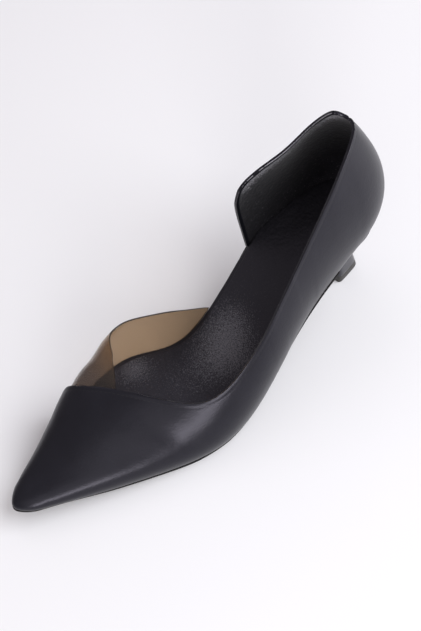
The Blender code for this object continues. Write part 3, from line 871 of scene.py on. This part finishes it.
def make_heel():
    """Covered spool heel and its hard lift."""
    rings = list(smooth_loft([seat_ring()] + [heel_ring(*row) for row in HEEL_ROWS], HEEL_RINGS))
    rings.append(drawn_in(rings[-1], HEEL_FOOT_INSET, HEEL_FOOT_DROP))
    piece = add_piece("heel_block", *capped(rings), [heel_leather("heel_leather")], sharp_deg=70)
    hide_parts("heel")

    x_back, _, x_front, _, half, square, taper = HEEL_ROWS[-1]
    foot_back, foot_front, foot_half = TOP_PIECE_FOOT
    head = heel_ring(x_back, TOP_PIECE_HIGH, x_front, TOP_PIECE_HIGH, half, square, taper)
    foot = heel_ring(foot_back, 0.0, foot_front, 0.0, foot_half, square, taper)
    levels = [head + (foot - head) * share for share in TOP_PIECE_LEVELS]
    lift = [drawn_in(head, TOP_PIECE_ROUND, 0)] + levels + [drawn_in(foot, TOP_PIECE_ROUND, 0)]
    piece = add_piece("heel_lift", *capped(lift), [lift_plastic("lift_plastic_grey")], sharp_deg=50)
    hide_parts("top_piece")


def shader_of(name):
    """New material with its node tree, its Principled shader and a helper that adds and sets a node."""
    material = bpy.data.materials.new(name)
    material.use_nodes = True
    tree = material.node_tree
    shader = tree.nodes["Principled BSDF"]

    def node(kind, **inputs):
        made = tree.nodes.new(kind)
        for key, value in inputs.items():
            made.inputs[key.replace("_", " ")].default_value = value
        return made
    return material, tree, shader, node


def set_values(shader, **values):
    """Set sockets of a shader by name, with underscores for spaces."""
    for key, value in values.items():
        shader.inputs[key.replace("_", " ")].default_value = value


def ramp_between(node, tree, source, low, high, start=0.3, end=0.7):
    """Colour ramp from one colour or value to another over a source's range."""
    ramp = node("ShaderNodeValToRGB")
    ramp.color_ramp.elements[0].position = start
    ramp.color_ramp.elements[1].position = end
    ramp.color_ramp.elements[0].color = (*low, 1) if isinstance(low, tuple) else (low, low, low, 1)
    ramp.color_ramp.elements[1].color = (*high, 1) if isinstance(high, tuple) else (high, high, high, 1)
    tree.links.new(source, ramp.inputs["Fac"])
    return ramp.outputs["Color"]


def painted_shade_towards(node, tree, place, colour, x_from, x_to, share):
    """Painted shade: colour that falls to a share of itself towards the first of two places along the shoe.
    """
    parts = node("ShaderNodeSeparateXYZ")
    tree.links.new(place, parts.inputs["Vector"])
    along = node("ShaderNodeMapRange", From_Min=x_from, From_Max=x_to, To_Min=share, To_Max=1.0)
    tree.links.new(parts.outputs["X"], along.inputs["Value"])
    scaled = node("ShaderNodeVectorMath")
    scaled.operation = "SCALE"
    tree.links.new(colour, scaled.inputs["Vector"])
    tree.links.new(along.outputs["Result"], scaled.inputs["Scale"])
    return scaled.outputs["Vector"]


def painted_light_mask(node, tree, place, grain, painted_spots):
    """Soft round patches of painted light added to a grain's speckle. A spot is a place, a reach in metres
    and a strength.
    """
    speckle = node("ShaderNodeMapRange", From_Min=0.3, From_Max=0.7, To_Min=0.25, To_Max=0.75)
    tree.links.new(grain, speckle.inputs["Value"])
    total = speckle.outputs["Result"]
    for middle, reach, strength in painted_spots:
        gap = node("ShaderNodeVectorMath")
        gap.operation = "DISTANCE"
        gap.inputs[1].default_value = middle
        tree.links.new(place, gap.inputs[0])
        soft = node("ShaderNodeMapRange", From_Min=reach, From_Max=0.0, To_Min=0.0, To_Max=strength)
        soft.interpolation_type = "SMOOTHSTEP"
        tree.links.new(gap.outputs["Value"], soft.inputs["Value"])
        both = node("ShaderNodeMath")
        tree.links.new(total, both.inputs[0])
        tree.links.new(soft.outputs["Result"], both.inputs[1])
        total = both.outputs["Value"]
    return total


def grained(name, dark, light, rough, cell, depth, wave=0.0, wave_depth=0.0, cloud_size=0.011, painted_shade=None,
            painted_spots=None, **values):
    """Grained surface: cells of the grain and a slow unevenness in bump, colour and roughness.

    cell, wave and cloud_size are sizes in metres, depth and wave_depth are bump heights in metres, and rough
    is a pair of values. painted_shade gives two x places and the share of the colour left at the first one,
    as painted shade. With painted_spots, the light colour lies in patches of painted light round them instead
    of in clouds.
    """
    material, tree, shader, node = shader_of(name)
    place = node("ShaderNodeTexCoord").outputs["Object"]
    cells = node("ShaderNodeTexVoronoi", Scale=1 / cell)
    cells.feature = "SMOOTH_F1"
    cells.inputs["Smoothness"].default_value = 0.6
    pores = node("ShaderNodeTexNoise", Scale=PORES_IN_CELL / cell, Detail=3.0, Roughness=0.6)
    cloud = node("ShaderNodeTexNoise", Scale=1 / cloud_size, Detail=4.0, Roughness=0.55)
    for texture in (cells, pores, cloud):
        tree.links.new(place, texture.inputs["Vector"])
    # Painted light: pale patches round the given places
    if painted_spots:
        patches = painted_light_mask(node, tree, place, pores.outputs["Fac"], painted_spots)
        colour = ramp_between(node, tree, patches, dark, light, *PATCH_RAMP)
    else:
        colour = ramp_between(node, tree, cloud.outputs["Fac"], dark, light)
    # Painted shade: the colour falls along the shoe
    if painted_shade:
        colour = painted_shade_towards(node, tree, place, colour, *painted_shade)
    tree.links.new(colour, shader.inputs["Base Color"])
    tree.links.new(ramp_between(node, tree, pores.outputs["Fac"], *rough), shader.inputs["Roughness"])
    fine = node("ShaderNodeBump", Strength=1.0, Distance=depth)
    tree.links.new(cells.outputs["Distance"], fine.inputs["Height"])
    last = fine
    if wave:
        slow = node("ShaderNodeTexNoise", Scale=1 / wave, Detail=2.0, Roughness=0.5)
        tree.links.new(place, slow.inputs["Vector"])
        last = node("ShaderNodeBump", Strength=1.0, Distance=wave_depth)
        tree.links.new(slow.outputs["Fac"], last.inputs["Height"])
        tree.links.new(fine.outputs["Normal"], last.inputs["Normal"])
    tree.links.new(last.outputs["Normal"], shader.inputs["Normal"])
    set_values(shader, **values)
    return material


def leather(name):
    """Smooth satin leather of the upper."""
    return grained(name, dark=(0.0050, 0.0052, 0.0074), light=(0.0066, 0.0068, 0.0096), rough=(0.28, 0.36),
                   cell=0.0009, depth=0.00003, wave=0.009, wave_depth=0.00012,
                   Specular_Tint=COOL_SHEEN, Specular_IOR_Level=0.36)


def heel_leather(name):
    """Leather drawn tight over the heel, a little glossier."""
    return grained(name, dark=(0.0065, 0.0070, 0.0098), light=(0.0085, 0.0092, 0.0128), rough=(0.28, 0.36),
                   cell=0.0009, depth=0.00003, wave=0.008, wave_depth=0.0001,
                   Specular_Tint=COOL_SHEEN, Coat_Weight=0.4, Coat_Roughness=0.2)


def rim_leather(name):
    """Smooth leather wrapped round the insole board."""
    return grained(name, dark=(0.0045, 0.0045, 0.0056), light=(0.0062, 0.0062, 0.0076), rough=(0.34, 0.46),
                   cell=0.0008, depth=0.00004, Specular_Tint=COOL_SHEEN)


def sock_leather(name):
    """Grained sock with painted sheen in pale patches and painted shade darkening it towards the heel."""
    painted_spots = []
    for x, y, reach, strength in SOCK_PAINTED_SHEEN:
        middle = np.array([x, y, SECTION["feather"](x) + INSOLE_THICK])
        painted_spots.append(((middle - ORIGIN) * MM, reach * MM, strength))
    # Pale patches are painted sheen, and the fall towards the heel is painted shade
    return grained(name, dark=(0.0070, 0.0070, 0.0092), light=(0.1350, 0.1320, 0.1450), rough=(0.40, 0.60),
                   cell=0.0014, depth=0.00015, wave=0.012, wave_depth=0.0006, painted_shade=(-0.065, -0.03, 0.55),
                   painted_spots=painted_spots, Specular_Tint=COOL_SHEEN)


def lining_leather(name):
    """Dark napped lining, with painted light making it paler along the inner quarter's edge."""
    painted_spots = []
    for x in LINING_PAINTED_LIGHT_STATIONS:
        middle = last_point(loop_share(x), -1, curve_through(QUARTER_RIM)(x))
        painted_spots.append(((middle - ORIGIN) * MM, LINING_PAINTED_LIGHT_REACH * MM, LINING_PAINTED_LIGHT_STRENGTH))
    # The pale colour along the inner quarter's edge is painted light
    return grained(name, dark=(0.0042, 0.0040, 0.0052), light=(0.3200, 0.3110, 0.3420), rough=(0.50, 0.70),
                   cell=0.0019, depth=0.00012, wave=0.005, wave_depth=0.0001, painted_spots=painted_spots,
                   Specular_Tint=COOL_SHEEN, Sheen_Weight=0.3, Sheen_Roughness=0.4)


def sole_rubber(name):
    """Matt black sole."""
    return grained(name, dark=(0.0060, 0.0052, 0.0054), light=(0.0085, 0.0074, 0.0076), rough=(0.50, 0.65),
                   cell=0.0007, depth=0.00004, Specular_IOR_Level=0.12)


def lift_plastic(name):
    """Hard plastic of the lift, warm dark grey."""
    return grained(name, dark=(0.0260, 0.0240, 0.0225), light=(0.0330, 0.0305, 0.0285), rough=(0.42, 0.55),
                   cell=0.0006, depth=0.00003)


def thread(name):
    """Black thread of the stitches."""
    return grained(name, dark=(0.0045, 0.0045, 0.0056), light=(0.0070, 0.0070, 0.0086), rough=(0.5, 0.65),
                   cell=0.0003, depth=0.00003)


def film(name):
    """Smoky brown film that shows what is behind it, with faint cloudiness, painted shade and painted grey
    reflection in front and painted shade at its back.
    """
    material, tree, shader, node = shader_of(name)
    place = node("ShaderNodeTexCoord").outputs["Object"]
    haze = node("ShaderNodeTexNoise", Scale=70.0, Detail=3.0)
    tree.links.new(place, haze.inputs["Vector"])
    tree.links.new(ramp_between(node, tree, haze.outputs["Fac"], *FILM_ROUGH), shader.inputs["Roughness"])
    parts = node("ShaderNodeSeparateXYZ")
    tree.links.new(place, parts.inputs["Vector"])
    # Darker, greyer smoke in front is painted shade and painted grey reflection; the fall towards the back is
    # painted shade
    smoke_and_shade = ramp_between(node, tree, parts.outputs["X"], SMOKE_BACK, SMOKE_FRONT_PAINTED_SHADE, *SMOKE_CHANGE)
    smoke_and_shade = painted_shade_towards(node, tree, place, smoke_and_shade, *SMOKE_PAINTED_SHADE_AT_BACK)
    tree.links.new(smoke_and_shade, shader.inputs["Base Color"])
    set_values(shader, Transmission_Weight=0.95, IOR=1.26)
    return material


def film_edge(name):
    """Dark cut edge of the film."""
    material, tree, shader, node = shader_of(name)
    place = node("ShaderNodeTexCoord").outputs["Object"]
    cut = node("ShaderNodeTexNoise", Scale=900.0, Detail=2.0)
    tree.links.new(place, cut.inputs["Vector"])
    colour = ramp_between(node, tree, cut.outputs["Fac"], CUT_DARK, CUT_LIGHT)
    tree.links.new(colour, shader.inputs["Base Color"])
    set_values(shader, Roughness=0.35)
    return material


def make_camera():
    """Camera at the photograph's place, turned from its aim to the shoe without a twist."""
    data = bpy.data.cameras.new("photo_camera")
    data.lens = PHOTO_LENS * LENS_GAIN
    camera = bpy.data.objects.new("photo_camera", data)
    bpy.context.scene.collection.objects.link(camera)
    first = PHOTO_AIM - CAMERA_AT
    turned = first.rotation_difference(SHOE_AIM - CAMERA_AT) @ first.to_track_quat("-Z", "Y")
    camera.location = CAMERA_AT
    camera.rotation_mode = "QUATERNION"
    camera.rotation_quaternion = turned
    bpy.context.scene.camera = camera


def add_light(name, right, up, high, wide, tall, watts, colour):
    """Soft box at a place given along the picture's directions and above the floor, facing the shoe."""
    data = bpy.data.lights.new(name, "AREA")
    data.shape = "RECTANGLE"
    data.size = wide
    data.size_y = tall
    data.energy = watts
    data.color = colour
    light = bpy.data.objects.new(name, data)
    light.location = PICTURE_RIGHT * right + PICTURE_UP * up + Vector((0, 0, high))
    light.rotation_mode = "QUATERNION"
    light.rotation_quaternion = (SHOE_AIM - light.location).to_track_quat("-Z", "Y")
    bpy.context.scene.collection.objects.link(light)


def make_stage():
    """Pale floor, a large soft light from the picture's right, weaker fills and a dim studio round it."""
    mesh = bpy.data.meshes.new("floor")
    corners = [(side_x * FLOOR_HALF, side_y * FLOOR_HALF, 0)
               for side_x, side_y in ((-1, -1), (1, -1), (1, 1), (-1, 1))]
    mesh.from_pydata(corners, [], [(0, 1, 2, 3)])
    material, _, shader, _ = shader_of("pale_floor")
    set_values(shader, Base_Color=FLOOR_COLOUR, Roughness=0.7, Specular_IOR_Level=0.2)
    mesh.materials.append(material)
    floor = bpy.data.objects.new("floor", mesh)
    bpy.context.scene.collection.objects.link(floor)

    for row in LIGHTS:
        add_light(*row)

    world = bpy.data.worlds.new("studio")
    world.use_nodes = True
    set_values(world.node_tree.nodes["Background"], Color=STUDIO_COLOUR, Strength=STUDIO_STRENGTH)
    bpy.context.scene.world = world
    bpy.context.scene.view_settings.view_transform = "Standard"


make_camera()
make_stage()
make_upper()
make_lining()
make_film()
make_insole()
make_outsole()
make_heel()
